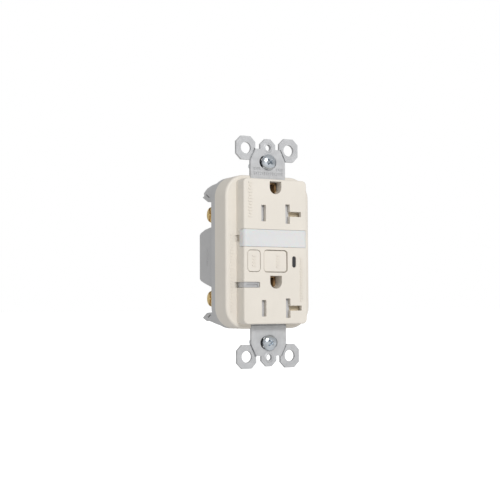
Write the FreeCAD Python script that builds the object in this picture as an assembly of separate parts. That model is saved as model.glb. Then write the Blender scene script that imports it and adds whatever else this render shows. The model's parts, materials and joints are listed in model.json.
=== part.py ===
"""Ground-fault receptacle with a night light: a 20 A duplex outlet for a wall box.

Millimetres. +X is the viewer's right, +Y goes back into the wall, +Z is up. The
origin is midway between the two mounting screws, on the front of the strap.
"""
import FreeCAD, Part
import math
import os

V = FreeCAD.Vector
BACKWARD = V(0, 1, 0)

# Strap and wall box interface
BOX_SCREW_Z = 41.67
PLATE_SCREW_Z = 48.42
EAR_HOLE_X = 11.37
EAR_HOLE_Z = 47.85
EAR_HOLE_R = 2.65
STRAP_T = 1.3
EAR_Y = 0.4
TAB_HALF = 9.2
TAB_INNER_Z = 30.0
TONGUE_HALF = 4.4
PLATE_HOLE_R = 1.45
COLLAR_R = 2.6
RIM_R = (2.55, 1.8)
RIM_RISE = 0.3
SCORE_DEPTH = 0.8
MARK_DEPTH = 0.3
SCREW_R = 1.75
SCREW_SEAT_Y = -0.35
SCREW_TIP_Y = 17.6
SCREW_TAPER = 1.8
SCREW_TIP_R = 0.8

# Front cover
FACE_Y = -7.0
FACE_WALL = 2.0
FACE_HALF_X = 16.6
FACE_HALF_Z = 33.05
FACE_CORNER_R = 2.2
SHOULDER_Y = 0.1
SHOULDER_HALF_X = 22.1
SHOULDER_HALF_Z = 35.2
SHOULDER_R = 9.9
COVER_BACK_Y = 10.9
WALL = 1.8
FACE_BACK_Y = FACE_Y + FACE_WALL

# Rear body
RIM_BACK_Y = 15.0
BODY_BACK_Y = 28.5
SPINE_BACK_Y = 25.2
BLOCK_HALF_X = 21.5
SPINE_HALF_X = 12.4
BODY_WALL = 1.6
BAY_FLOOR_Y = 12.8
INNER_FLOOR_Y = 11.4
HOUSING_SCREWS = [(x, z) for x in (-15.0, 15.0) for z in (-29.3, 29.1)]

# Face features: centre x, centre z, width, height
TEST_WELL = (-11.43, -4.47, 6.75, 9.97)
RESET_WELL = (-0.10, -4.49, 12.60, 10.23)
INDICATOR = (9.64, -4.65, 2.0, 5.2)
LENS_Z = (1.9, 9.95)
LENS_SIDE_Y = -2.8
SENSOR_Z = (-16.54, -13.95)
SENSOR_END_X = -8.45
WELL_R = 1.7
TEST_GAP = 0.18
RESET_GAP = 0.3
LENS_GAP = 0.12
LENS_EDGE_R = 1.5
MARK_HEIGHT = 0.35
TICK_ROOT = 0.3

# Receptacles
SLOT_CENTRES_Z = (17.3, -25.85)
SLOT_X = 6.35
HOT_SLOT = (2.3, 7.4)
NEUTRAL_SLOT = (2.3, 8.8)
T_BRANCH_END_X = 13.5
T_BRANCH_HEIGHT = 2.2
GROUND_ABOVE = 11.8
GROUND_SLOT = (6.1, 5.8)
GROUND_COLLAR_WALL = 0.8
GROUND_COLLAR_END_Y = {"upper": -2.6, "lower": -1.0}
GROUND_LEAF_X = (2.2, 2.6)

# Layers behind the face
SHUTTER_Y = (-4.6, -3.4)
SHUTTER_TRAVEL = 3.0
GATE_Y = (-3.3, -2.6)
GATE_X = (8.1, 14.6)
GATE_HALF_Z = 1.35
CLIP_FRONT_Y = -2.4
STRIP_Y = (4.4, 5.2)
HOLDER_Y = (5.2, 7.2)
LATCH_Y = (7.35, 7.8)
CARRIAGE_Y = (7.9, 9.7)
ARM_T = 0.4
BOARD_Y = (11.7, 13.3)
BUTTON_BACK_Y = -3.5
FLANGE_Y = (-4.9, -3.9)
FLANGE_OUT = 0.6
STEM_R = 1.5

# Terminals
TERMINAL_Z = {"load": 17.9, "line": -21.3}
SIDES = {"hot": -1, "neutral": 1}
SCREW_AXIS_Y = 17.8
HEAD_R = 3.95
HEAD_X = (19.2, 21.3)
SHANK_R = 2.05
SHANK_END_X = 13.0
TERMINAL_X = (16.9, 18.0)
CLAMP_X = (13.5, 14.8)
THREAD_GAP = 0.05
ARM_X = 11.0

# Solenoid
SOLENOID_Y = 19.6
SOLENOID_Z = -4.5
PLUNGER_R = 1.7
PLUNGER_TRAVEL = 2.5


def box(x, y, z):
    """A block between pairs of limits along each axis."""
    return Part.makeBox(x[1] - x[0], y[1] - y[0], z[1] - z[0], V(x[0], y[0], z[0]))


def rod(radius, start, end):
    """A round bar from one point to another."""
    span = V(*end) - V(*start)
    return Part.makeCylinder(radius, span.Length, V(*start), span)


def tube(outer, inner, start, end):
    return rod(outer, start, end).cut(rod(inner, start, end))


def fuse(*shapes):
    joined = shapes[0].multiFuse(list(shapes[1:])) if len(shapes) > 1 else shapes[0]
    return joined.removeSplitter()


def cut(shape, *tools):
    for tool in tools:
        shape = shape.cut(tool)
    return shape


def mirror_x(shape):
    return shape.mirror(V(0, 0, 0), V(1, 0, 0))


def mirror_z(shape):
    return shape.mirror(V(0, 0, 0), V(0, 0, 1))


def rounded_face(cx, cz, width, height, radius, y):
    """A rectangle with round corners, facing forward at depth y."""
    x0, x1 = cx - width / 2, cx + width / 2
    z0, z1 = cz - height / 2, cz + height / 2
    reach = radius * (1 - math.sqrt(0.5))
    corners = [
        ((x1 - radius, z0), (x1 - reach, z0 + reach), (x1, z0 + radius)),
        ((x1, z1 - radius), (x1 - reach, z1 - reach), (x1 - radius, z1)),
        ((x0 + radius, z1), (x0 + reach, z1 - reach), (x0, z1 - radius)),
        ((x0, z0 + radius), (x0 + reach, z0 + reach), (x0 + radius, z0)),
    ]
    edges = []
    for i, corner in enumerate(corners):
        points = [V(x, y, z) for x, z in corner]
        edges.append(Part.Arc(*points).toShape())
        start = V(corners[(i + 1) % 4][0][0], y, corners[(i + 1) % 4][0][1])
        if (start - points[2]).Length > 1e-4:
            edges.append(Part.makeLine(points[2], start))
    return Part.Face(Part.Wire(edges))


def pad(cx, cz, width, height, radius, y):
    """A round-cornered block between two depths."""
    face = rounded_face(cx, cz, width, height, radius, y[0])
    return face.extrude(V(0, y[1] - y[0], 0))


def plate(points, y):
    """An outline in X and Z, given a thickness along Y."""
    loop = [V(x, y[0], z) for x, z in points]
    return Part.Face(Part.makePolygon(loop + loop[:1])).extrude(V(0, y[1] - y[0], 0))


def section(points, x):
    """An outline in Y and Z, drawn out along X."""
    loop = [V(x[0], y, z) for y, z in points]
    return Part.Face(Part.makePolygon(loop + loop[:1])).extrude(V(x[1] - x[0], 0, 0))


def fillet_where(shape, radius, test):
    """Round the edges whose centre of mass passes a test."""
    edges = [e for e in shape.Edges if test(e.CenterOfMass, e)]
    return shape.makeFillet(radius, edges)


def coil(radius, wire_r, pitch, height, base, direction):
    """A helical spring of eight-sided wire that starts at base and rises along direction."""
    helix = Part.makeHelix(pitch, height - 2 * wire_r, radius)
    angles = [math.radians(22.5 + 45 * i) for i in range(8)]
    ring = [V(radius + wire_r * math.cos(a), 0, wire_r * math.sin(a)) for a in angles]
    spring = Part.Wire(helix).makePipeShell([Part.makePolygon(ring + ring[:1])], True, True)
    spring.translate(V(0, 0, wire_r))
    spring.Placement = FreeCAD.Placement(
        V(*base), FreeCAD.Rotation(V(0, 0, 1), direction)
    ).multiply(spring.Placement)
    return spring


def save(name, shape):
    """Write one piece, or a group of equal pieces, to its own file."""
    bad = [s for s in shape.Solids if not s.isValid()]
    count = len(shape.Solids)
    print(f"{name}: {count} solids, {shape.Volume:.1f} mm3" + (" INVALID" if bad else ""))
    keep = shape.Solids[0] if count == 1 else Part.Compound(shape.Solids)
    keep.exportStep(f"parts/{name}.step")


# ---------------------------------------------------------------- face openings

def ground_slot(z, y, grow=0.0):
    """The D-shaped ground hole: flat on top, round below."""
    width, height = GROUND_SLOT
    radius = width / 2 + grow
    middle = z - height / 2 + width / 2
    top = z + height / 2 + grow
    bowl = rod(radius, (0, y[0], middle), (0, y[1], middle)).common(box((-9, 9), y, (z - 9, middle)))
    return fuse(bowl, box((-radius, radius), y, (middle, top)))


def neutral_slot(z, y, grow=0.0, shift=0.0):
    """The T-shaped slot that takes both 15 A and 20 A blades."""
    half_w = NEUTRAL_SLOT[0] / 2 + grow
    half_h = NEUTRAL_SLOT[1] / 2 + grow
    branch = T_BRANCH_HEIGHT / 2 + grow
    stem = box((SLOT_X - half_w + shift, SLOT_X + half_w + shift), y, (z - half_h, z + half_h))
    arm = box((SLOT_X + shift, T_BRANCH_END_X + grow + shift), y, (z - branch, z + branch))
    return fuse(stem, arm)


def hot_slot(z, y, grow=0.0, shift=0.0):
    half_w = HOT_SLOT[0] / 2 + grow
    half_h = HOT_SLOT[1] / 2 + grow
    return box((-SLOT_X - half_w + shift, -SLOT_X + half_w + shift), y, (z - half_h, z + half_h))


def ground_z(slot_z):
    return slot_z + GROUND_ABOVE


def places():
    """The name and the height of each socket."""
    return zip(("upper", "lower"), SLOT_CENTRES_Z)


def tick_row(start, end, count, length, across, y, width=0.5, height=0.22):
    """Small bars in a row on a face that looks forward, raised by their height and rooted in it."""
    bars = []
    for i in range(count):
        share = i / (count - 1)
        x = start[0] + (end[0] - start[0]) * share
        z = start[1] + (end[1] - start[1]) * share
        half = length / 2 * (0.75 if i % 3 == 1 else 1.0)
        size_x = half if across else width / 2
        size_z = width / 2 if across else half
        bars.append(box((x - size_x, x + size_x), (y - height, y + TICK_ROOT), (z - size_z, z + size_z)))
    return bars


# ------------------------------------------------------------------------ cover

def cover_blank():
    """The raised face, the wide shoulder and the skirt, before anything is cut."""
    face = pad(0, 0, 2 * FACE_HALF_X, 2 * FACE_HALF_Z, FACE_CORNER_R, (FACE_Y, SHOULDER_Y + 1.0))
    face = fillet_where(face, 0.8, lambda c, e: abs(c.y - FACE_Y) < 0.01)
    shoulder = pad(0, 0, 2 * SHOULDER_HALF_X, 2 * SHOULDER_HALF_Z, SHOULDER_R,
                   (SHOULDER_Y, COVER_BACK_Y))
    shoulder = fillet_where(shoulder, 1.1, lambda c, e: abs(c.y - SHOULDER_Y) < 0.01)
    return fuse(face, shoulder)


def cover_hollow():
    face_room = pad(0, 0, 2 * (FACE_HALF_X - 1.6), 2 * (FACE_HALF_Z - 1.0), 1.2, (FACE_BACK_Y, 2.5))
    skirt_room = pad(0, 0, 2 * (SHOULDER_HALF_X - WALL), 2 * (SHOULDER_HALF_Z - 2.2),
                     SHOULDER_R - WALL, (2.0, COVER_BACK_Y + 1))
    return [face_room, skirt_room]


def cover_ribs():
    """Rails behind the face that keep each shutter in line."""
    ribs = []
    for z in SLOT_CENTRES_Z:
        for side in (-1, 1):
            edge = z + side * 5.15
            limits = (min(edge, edge + side * 0.7), max(edge, edge + side * 0.7))
            ribs.append(box((-13.0, 15.2), (FACE_BACK_Y - 0.2, -3.2), limits))
    return ribs


def ground_collars():
    """Deep walls round each ground hole that lead the pin to its contact."""
    return [ground_slot(ground_z(z), (FACE_BACK_Y - 0.2, GROUND_COLLAR_END_Y[name]), GROUND_COLLAR_WALL)
            for name, z in places()]


def cover_bosses():
    """Posts in the corners that the housing screws bite into."""
    return [rod(2.6, (x, 1.8, z), (x, HOLDER_Y[0], z)) for x, z in HOUSING_SCREWS]


def cover_pilots():
    return [rod(1.35, (x, 3.0, z), (x, 8.0, z)) for x, z in HOUSING_SCREWS]


def cover_openings():
    through = (FACE_Y - 1, FACE_BACK_Y + 0.5)
    tools = []
    for z in SLOT_CENTRES_Z:
        tools += [hot_slot(z, through), neutral_slot(z, through)]
        tools.append(ground_slot(ground_z(z), (FACE_Y - 1, 0.0)))
    for cx, cz, width, height in (TEST_WELL, RESET_WELL):
        tools.append(pad(cx, cz, width, height, WELL_R, through))
    cx, cz, width, height = INDICATOR
    tools.append(pad(cx, cz, width, height, width / 2 - 0.01, through))
    return tools


def light_openings():
    """The lens band, its snap notches, and the sensor slot with its notch."""
    side = FACE_HALF_X + 1
    band = box((-side, side), (FACE_Y - 1, LENS_SIDE_Y), LENS_Z)
    notch = box((-FACE_HALF_X - 0.9, -FACE_HALF_X + 1.1), (LENS_SIDE_Y - 0.2, 0.6), (4.4, 7.45))
    sensor_front = pad((SENSOR_END_X - side) / 2, sum(SENSOR_Z) / 2, side + SENSOR_END_X,
                       SENSOR_Z[1] - SENSOR_Z[0], 0.4, (FACE_Y - 1, FACE_BACK_Y + 0.5))
    sensor_side = box((-side, -FACE_HALF_X + 1.7), (FACE_Y - 1, 0.9), SENSOR_Z)
    return [band, sensor_front, sensor_side, notch, mirror_x(notch)]


def strap_pocket():
    """Where the strap lies over the shoulder and passes under the raised face."""
    room = box((-TAB_HALF - 0.1, TAB_HALF + 0.1), (-0.06, STRAP_T + 0.1), (FACE_HALF_Z - 5.0, 40))
    return [room, mirror_z(room)]


def cover_marks():
    """Rows of plain bars in the places that carry raised wording."""
    marks = tick_row((-13.3, 31.0), (-13.3, 15.6), 12, 1.9, True, FACE_Y, 0.6, MARK_HEIGHT)
    marks += tick_row((13.4, -3.0), (13.4, -22.4), 17, 1.6, True, FACE_Y, 0.55, MARK_HEIGHT)
    marks += tick_row((-19.2, 7.6), (-19.2, -27.2), 26, 1.5, True, SHOULDER_Y)
    return marks


def front_cover():
    cover = cut(cover_blank(), *cover_hollow())
    cover = fuse(cover, *cover_ribs(), *cover_bosses(), *ground_collars())
    cover = cut(cover, *cover_openings(), *light_openings(), *strap_pocket(), *cover_pilots())

    def rim_of_opening(c, e):
        inside = abs(c.x) < 15.2 and abs(c.z) < 32.1
        in_lens = LENS_Z[0] - 0.1 < c.z < LENS_Z[1] + 0.1
        in_sensor = SENSOR_Z[0] - 0.1 < c.z < SENSOR_Z[1] + 0.1 and c.x < SENSOR_END_X + 0.1
        return abs(c.y - FACE_Y) < 0.01 and inside and not in_lens and not in_sensor

    cover = fillet_where(cover, 0.22, rim_of_opening)
    return fuse(cover, *cover_marks())


# ----------------------------------------------------------- lights and buttons

def night_light_lens():
    """A translucent band across the face that wraps round both sides."""
    z = (LENS_Z[0] + LENS_GAP, LENS_Z[1] - LENS_GAP)
    outer = pad(0, sum(z) / 2, 2 * FACE_HALF_X, 2 * FACE_HALF_Z, FACE_CORNER_R,
                (FACE_Y, SHOULDER_Y))
    outer = fillet_where(outer, LENS_EDGE_R, lambda c, e: abs(c.y - FACE_Y) < 0.01)
    slab = outer.common(box((-20, 20), (FACE_Y - 1, LENS_SIDE_Y - LENS_GAP), z))
    slab = slab.cut(box((-15.1, 15.1), (FACE_BACK_Y - 0.2, 0), (z[0] - 1, z[1] + 1)))
    snap = box((-FACE_HALF_X + 0.5, -FACE_HALF_X + 1.0), (LENS_SIDE_Y - 0.3, -1.9), (4.9, 6.95))
    return fuse(slab, snap, mirror_x(snap))


def sensor_window():
    """The clear light pipe of the dusk sensor, wrapping over the left edge."""
    z = (SENSOR_Z[0] + 0.1, SENSOR_Z[1] - 0.1)
    end = SENSOR_END_X - 0.1
    front_y = FACE_Y + 0.65
    front = box((-FACE_HALF_X + 0.25, end), (front_y, FACE_BACK_Y), z)
    side = box((-FACE_HALF_X + 0.25, -FACE_HALF_X + 1.6), (front_y, -1.0), z)
    pipe = fillet_where(fuse(front, side), 0.5,
                        lambda c, e: abs(c.x + FACE_HALF_X - 0.25) < 0.01 and c.y < front_y + 0.05)
    middle = (z[0] + z[1]) / 2
    groove = box((-FACE_HALF_X + 1.4, end - 1.0), (front_y - 1, front_y + 0.45),
                 (middle - 0.3, middle + 0.3))
    post = box((end - 0.8, end - 0.35), (front_y - 0.3, front_y + 0.1), (z[0] + 0.3, z[1] - 0.3))
    return fuse(pipe.cut(groove), post)


def indicator_lens():
    cx, cz, width, height = INDICATOR
    return pad(cx, cz, width - 0.12, height - 0.12, width / 2 - 0.08, (FACE_Y + 0.5, -4.4))


def button(well, gap, front_y, stem_end, stem_r):
    """A key with round corners, a flange behind the wall, and a stem."""
    cx, cz, width, height = well
    key = pad(cx, cz, width - 2 * gap, height - 2 * gap, WELL_R - gap, (front_y, BUTTON_BACK_Y))
    key = fillet_where(key, 0.35, lambda c, e: abs(c.y - front_y) < 0.01)
    flange = pad(cx, cz, width + 2 * FLANGE_OUT, height + 2 * FLANGE_OUT, 1.2, FLANGE_Y)
    flange = flange.common(box((-FACE_HALF_X + 1.8, FACE_HALF_X), (-10, 10), (-20, 20)))
    stem = rod(stem_r, (cx, BUTTON_BACK_Y - 0.5, cz), (cx, stem_end, cz))
    return fuse(key, flange, stem)


def test_button():
    front_y = FACE_Y + 0.05
    key = button(TEST_WELL, TEST_GAP, front_y, 2.0, 1.2)
    return fuse(key, *tick_row((TEST_WELL[0], -2.2), (TEST_WELL[0], -6.6), 4, 1.9, True, front_y, 0.6, 0.3))


def reset_button():
    front_y = FACE_Y + 0.5
    key = button(RESET_WELL, RESET_GAP, front_y, CARRIAGE_Y[0] + 0.3, STEM_R)
    return fuse(key, *tick_row((1.2, -1.9), (1.2, -7.1), 5, 2.0, True, front_y, 0.6, 0.3))


def reset_spring():
    cx, cz = RESET_WELL[:2]
    return coil(2.1, 0.22, 0.95, 3.3, (cx, BUTTON_BACK_Y + 0.1, cz), BACKWARD)


def shutter(z):
    """A slide with one window beside each blade slot."""
    slab = box((-9.6, 14.8), SHUTTER_Y, (z - 5.0, z + 5.0))
    slab = slab.cut(hot_slot(z, (-6, -2), 0.1, SHUTTER_TRAVEL))
    slab = slab.cut(neutral_slot(z, (-6, -2), 0.1, SHUTTER_TRAVEL))
    ramps = [box((-8.2, -7.9), (SHUTTER_Y[0] - 0.25, SHUTTER_Y[0] + 0.1), (z - 3.0, z + 3.0))]
    return fuse(slab, *ramps)


def side_gate(z):
    """The small slide that closes the sideways branch of the T-shaped slot."""
    slab = box(GATE_X, GATE_Y, (z - GATE_HALF_Z, z + GATE_HALF_Z))
    tail = box((GATE_X[1] - 0.6, GATE_X[1]), (GATE_Y[0], GATE_Y[1] + 0.9), (z - GATE_HALF_Z, z + 0.3))
    return fuse(slab, tail)


def shutter_spring(z):
    return coil(0.85, 0.16, 0.85, 5.2, (-14.9, sum(SHUTTER_Y) / 2, z), V(1, 0, 0))


# ------------------------------------------------------------------------ strap

def strap_tab():
    """The upper tab with its nose, screw slot and tapped hole with a raised rim."""
    outline = [(-9.2, TAB_INNER_Z), (-9.2, 42.1), (-6.4, 47.7), (-4.0, 47.7), (-4.0, 50.0),
               (-1.4, 52.5), (1.4, 52.5), (4.0, 50.0), (4.0, 47.7), (6.4, 47.7), (9.2, 42.1),
               (9.2, TAB_INNER_Z)]
    tab = plate(outline, (0, STRAP_T))
    collar = rod(COLLAR_R, (0, 0.4, PLATE_SCREW_Z), (0, STRAP_T + 0.3, PLATE_SCREW_Z))
    rim = Part.makeCone(RIM_R[1], RIM_R[0], RIM_RISE + 0.05, V(0, -RIM_RISE, PLATE_SCREW_Z), BACKWARD)
    tab = fuse(tab, collar, rim)
    slot = pad(0, BOX_SCREW_Z, 9.0, 6.0, 2.99, (-1, 3))
    bore = rod(PLATE_HOLE_R, (0, -1, PLATE_SCREW_Z), (0, 4, PLATE_SCREW_Z))
    return cut(tab, slot, bore)


def strap_ear():
    """An octagonal plaster ear, set back from the tab and scored where it breaks off."""
    x0, x1, z0, z1, c = 6.4, 16.4, 42.4, 53.3, 2.6
    outline = [(x0 + c, z0), (x1 - c, z0), (x1, z0 + c), (x1, z1 - c), (x1 - c, z1),
               (x0 + c, z1), (x0, z1 - c), (x0, z0 + c)]
    ear = plate(outline, (EAR_Y, EAR_Y + STRAP_T))
    bend = plate([(9.35, 42.45), (8.3, 42.45), (5.9, 47.4), (6.75, 47.7)], (0.15, EAR_Y + 1.0))
    score = plate([(9.29, 42.15), (9.96, 42.3), (7.16, 48.08), (6.49, 47.75)], (-1, EAR_Y + SCORE_DEPTH))
    hole = rod(EAR_HOLE_R, (EAR_HOLE_X, 0, EAR_HOLE_Z), (EAR_HOLE_X, 4, EAR_HOLE_Z))
    return cut(fuse(ear, bend), score, hole)


def ground_tab():
    """The tongue that is bent back under the body to carry the ground screw."""
    y0, y1 = 0.2, 21.6
    z0 = -36.75
    tongue = box((2.7, 9.2), (y0, y1), (z0, z0 + 1.2))
    hole = rod(1.95, (5.95, 17.4, z0 - 1), (5.95, 17.4, z0 + 3))
    return tongue.cut(hole)


def mounting_strap():
    end = fuse(strap_tab(), strap_ear(), mirror_x(strap_ear()))
    tongue = box((-TONGUE_HALF, TONGUE_HALF), (0, STRAP_T), (-TAB_INNER_Z - 0.5, TAB_INNER_Z + 0.5))
    strap = fuse(end, mirror_z(end), tongue, ground_tab())
    holes = [rod(3.3, (0, -1, ground_z(z)), (0, 3, ground_z(z))) for z in SLOT_CENTRES_Z]
    cx, cz = RESET_WELL[:2]
    holes.append(rod(STEM_R + 0.25, (cx, -1, cz), (cx, 3, cz)))
    marks = tick_row((-7.4, 36.3), (7.4, 36.3), 15, 1.5, False, MARK_DEPTH - TICK_ROOT, 0.5)
    for start, end in ((-7.4, -4.4), (4.4, 7.4)):
        marks += tick_row((start, 38.4), (end, 38.4), 4, 1.2, False, MARK_DEPTH - TICK_ROOT, 0.5)
    score = box((-TAB_HALF - 1, TAB_HALF + 1), (-1, SCORE_DEPTH), (-FACE_HALF_Z - 0.75, -FACE_HALF_Z + 0.1))
    strap = cut(strap, score, *holes, *marks)
    bead = box((-TAB_HALF + 0.9, TAB_HALF - 0.9), (-0.12, 0.3), (-36.1, -35.8))
    return fuse(strap, bead)


def machine_screw(z):
    """A 6-32 pan head screw with a cross recess."""
    seat = SCREW_SEAT_Y
    dome = Part.makeSphere(4.1, V(0, seat + 2.05, z)).common(rod(3.6, (0, -2.4, z), (0, seat, z)))
    head = dome.common(box((-5, 5), (-2.3, seat), (z - 5, z + 5)))
    tip_start = SCREW_TIP_Y - SCREW_TAPER
    shank = rod(SCREW_R, (0, seat - 0.2, z), (0, tip_start, z))
    tip = Part.makeCone(SCREW_R, SCREW_TIP_R, SCREW_TAPER, V(0, tip_start, z), BACKWARD)
    screw = fuse(head, shank, tip)
    arms = [box((-1.9, 1.9), (-3, -1.1), (z - 0.35, z + 0.35)),
            box((-0.35, 0.35), (-3, -1.1), (z - 1.9, z + 1.9))]
    turned = [a.rotate(V(0, 0, z), V(0, 1, 0), 38) or a for a in arms]
    return cut(screw, *turned)


def screw_retainers():
    rings = [pad(0, z, 12.4, 8.1, 2.0, (STRAP_T + 0.02, STRAP_T + 0.9)).cut(rod(2.95, (0, 0, z), (0, 4, z)))
             for z in (BOX_SCREW_Z, -BOX_SCREW_Z)]
    return Part.Compound(rings)


# --------------------------------------------------------------------- contacts

def clip_pair(x, z, half_length):
    """Two springy leaves that grip a blade, with lead-in lips."""
    leaves = []
    for side in (-1, 1):
        near, far = x + side * 0.8, x + side * 1.3
        limits = (min(near, far), max(near, far))
        leaves.append(box(limits, (CLIP_FRONT_Y, STRIP_Y[0] + 0.1), (z - half_length, z + half_length)))
    return leaves


def hot_contact_strip():
    x = -SLOT_X
    strip = box((x - 2.0, x + 1.6), STRIP_Y, (-30.0, 21.0))
    clips = [leaf for z in SLOT_CENTRES_Z for leaf in clip_pair(x, z, 3.0)]
    return fuse(strip, *clips)


def neutral_contact_strip():
    """The neutral strip, with a second clip for the sideways blade."""
    x = SLOT_X
    pieces = [box((x - 1.6, x + 2.0), STRIP_Y, (-30.0, 21.0))]
    for z in SLOT_CENTRES_Z:
        pieces += clip_pair(x, z, 3.6)
        pieces.append(box((x, T_BRANCH_END_X - 0.1), STRIP_Y, (z - 1.35, z + 1.35)))
        for side in (-1, 1):
            limits = sorted((z + side * 0.8, z + side * 1.3))
            pieces.append(box((8.6, 13.2), (CLIP_FRONT_Y, STRIP_Y[0] + 0.1), limits))
    return fuse(*pieces)


def ground_contact(name, z):
    """Two springy leaves beside the ground pin, on a foot that is riveted to the strap."""
    front = GROUND_COLLAR_END_Y[name] + 0.25
    foot = box((-4.3, 4.3), (-0.5, 0), (z - 2.2, z + 2.9))
    window = box((-GROUND_LEAF_X[0], GROUND_LEAF_X[0]), (-1, 1), (z - 3, z + 2.2))
    pieces = [foot.cut(window)]
    for side in (-1, 1):
        limits = sorted(side * x for x in GROUND_LEAF_X)
        pieces.append(box(limits, (front, 3.9), (z - 1.9, z + 1.9)))
        pieces.append(rod(0.55, (side * 3.7, -0.9, z), (side * 3.7, -0.4, z)))
    return fuse(*pieces)


def terminal(side, name):
    """A stamped terminal: a plate in the bay, and an arm to the contacts inside."""
    z = TERMINAL_Z[name]
    inner, outer = (side * v for v in TERMINAL_X)
    limits = tuple(sorted((inner, outer)))
    arm_y = STRIP_Y if name == "load" else (7.9, 8.7)
    riser = box(limits, (arm_y[0], 22.3), (z - 4.2, z + 4.2))
    hole = rod(SHANK_R + 0.15, (side * 12, SCREW_AXIS_Y, z), (side * 20, SCREW_AXIS_Y, z))
    load_reach = SLOT_X + 2.0 if side < 0 else T_BRANCH_END_X - 0.1
    reach = load_reach if name == "load" else ARM_X - 1.6
    arm = box(sorted((side * reach, side * TERMINAL_X[0])), arm_y, (z - 2.0, z + 2.0))
    pieces = [riser.cut(hole), arm]
    if name == "line":
        pieces.append(rod(1.5, (side * ARM_X, 8.6, z), (side * ARM_X, 9.15, z)))
    return fuse(*pieces)


def terminal_screw(side, z):
    """A brass or plated screw with a washer face and a combined recess."""
    under, face = HEAD_X
    head = rod(HEAD_R, (side * under, SCREW_AXIS_Y, z), (side * face, SCREW_AXIS_Y, z))
    head = fillet_where(head, 0.5, lambda c, e: abs(abs(c.x) - face) < 0.01)
    shank = rod(SHANK_R, (side * SHANK_END_X, SCREW_AXIS_Y, z), (side * (under + 0.2), SCREW_AXIS_Y, z))
    depth = sorted((side * (face - 1.1), side * (face + 1)))
    slot = box(depth, (SCREW_AXIS_Y - 0.5, SCREW_AXIS_Y + 0.5), (z - 3.2, z + 3.2))
    cross = box(depth, (SCREW_AXIS_Y - 1.7, SCREW_AXIS_Y + 1.7), (z - 0.55, z + 0.55))
    return cut(fuse(head, shank), slot, cross)


def clamp_plate(side, z):
    """The threaded plate that draws a stripped wire against the terminal."""
    limits = sorted((side * CLAMP_X[0], side * CLAMP_X[1]))
    slab = box(limits, (BAY_FLOOR_Y + 0.3, 21.7), (z - 4.0, z + 4.0))
    thread = rod(SHANK_R + THREAD_GAP, (side * 12, SCREW_AXIS_Y, z), (side * 16, SCREW_AXIS_Y, z))
    return slab.cut(thread)


def ground_screw():
    """The hexagonal ground screw under the body."""
    x, y, top = 5.95, 17.4, -36.95
    points = [(3.6 * math.cos(math.radians(60 * i)), 3.6 * math.sin(math.radians(60 * i)))
              for i in range(6)]
    loop = [V(x + a, y + b, top - 2.3) for a, b in points]
    head = Part.Face(Part.makePolygon(loop + loop[:1])).extrude(V(0, 0, 2.3))
    shank = rod(1.85, (x, y, top - 0.3), (x, y, top + 4.6))
    slot = box((x - 4, x + 4), (y - 0.5, y + 0.5), (top - 3, top - 1.4))
    return fuse(head, shank).cut(slot)


# ------------------------------------------------------------------- inner works

def contact_holder():
    """The moulded divider that carries the contact strips."""
    holder = pad(0, 0, 39.4, 64.6, 7.6, HOLDER_Y)
    cx, cz = RESET_WELL[:2]
    tools = [rod(STEM_R + 0.25, (cx, 4, cz), (cx, 9, cz))]
    tools += [rod(1.45, (x, 4, z), (x, 9, z)) for x, z in HOUSING_SCREWS]
    z = TERMINAL_Z["load"]
    for side in (-1, 1):
        limits = sorted((side * (TERMINAL_X[0] - 0.1), side * (TERMINAL_X[1] + 0.1)))
        tools.append(box(limits, (4, 9), (z - 4.3, z + 4.3)))
    holder = cut(holder, *tools)
    posts = [box((x - 0.6, x + 0.6), (2.0, HOLDER_Y[0] + 0.1), (z - 3, z + 3))
             for x in (-17.0, 17.0) for z in (-6, 6)]
    return fuse(holder, *posts)


def test_contact():
    """The leaf that the test button presses on."""
    leaf = box((-13.4, -9.4), (3.2, 3.6), (-9.6, 1.0))
    foot = box((-13.4, -9.4), (3.2, HOLDER_Y[0]), (0.2, 1.0))
    return fuse(leaf, foot)


def latch_plate():
    """The sliding latch with a keyhole round the reset stem, and its leg."""
    cx, cz = RESET_WELL[:2]
    slab = box((-6.0, 14.2), LATCH_Y, (cz - 1.8, cz + 1.8))
    window = pad(cx - PLUNGER_TRAVEL / 2, cz, 3.3 + PLUNGER_TRAVEL, 3.3, 1.6, (7, 9))
    leg = box((13.5, 14.2), (LATCH_Y[0], SOLENOID_Y + 1.6), (cz - 1.8, cz + 1.8))
    return fuse(slab.cut(window), leg)


def contact_carriage():
    """The insulating bridge that lifts both moving contacts."""
    cx, cz = RESET_WELL[:2]
    slab = pad(cx, cz, 25.6, 8.6, 1.0, CARRIAGE_Y)
    return slab.cut(rod(STEM_R + 0.3, (cx, 7, cz), (cx, 12, cz)))


def moving_contact(side):
    """A spring arm with a silver pad, from the carriage to the line terminal."""
    y0 = CARRIAGE_Y[1]
    arm = box(sorted((side * (ARM_X - 1.3), side * (ARM_X + 1.3))), (y0, y0 + ARM_T), (-22.8, -1.5))
    z = TERMINAL_Z["line"]
    return fuse(arm, rod(1.3, (side * ARM_X, 9.2, z), (side * ARM_X, y0 + 0.1, z)))


def circuit_board():
    middle = box((-16.0, 16.0), BOARD_Y, (-13.4, 9.2))
    column = box((-10.5, 10.5), BOARD_Y, (-28.6, 27.4))
    notch = box((13.2, 17.0), (11, 14), (-6.7, -2.3))
    holes = [rod(1.3, (x, 11, z), (x, 14, z)) for x in (-9, 9) for z in (-27, 26)]
    return cut(fuse(middle, column), notch, *holes)


def ring_cores():
    """The two rings that both wires pass through: one senses leakage, one a grounded neutral."""
    return Part.Compound([tube(6.4, 3.6, (0, y, 19.0), (0, y + 2.6, 19.0)) for y in (14.4, 17.8)])


def core_case():
    """The cup that holds both ring cores over the board."""
    outer = rod(7.4, (0, BOARD_Y[1], 19.0), (0, 21.0, 19.0))
    room = tube(6.6, 3.4, (0, 14.0, 19.0), (0, 22.0, 19.0))
    return outer.cut(room).cut(rod(2.4, (0, 13, 19.0), (0, 22, 19.0)))


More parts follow.
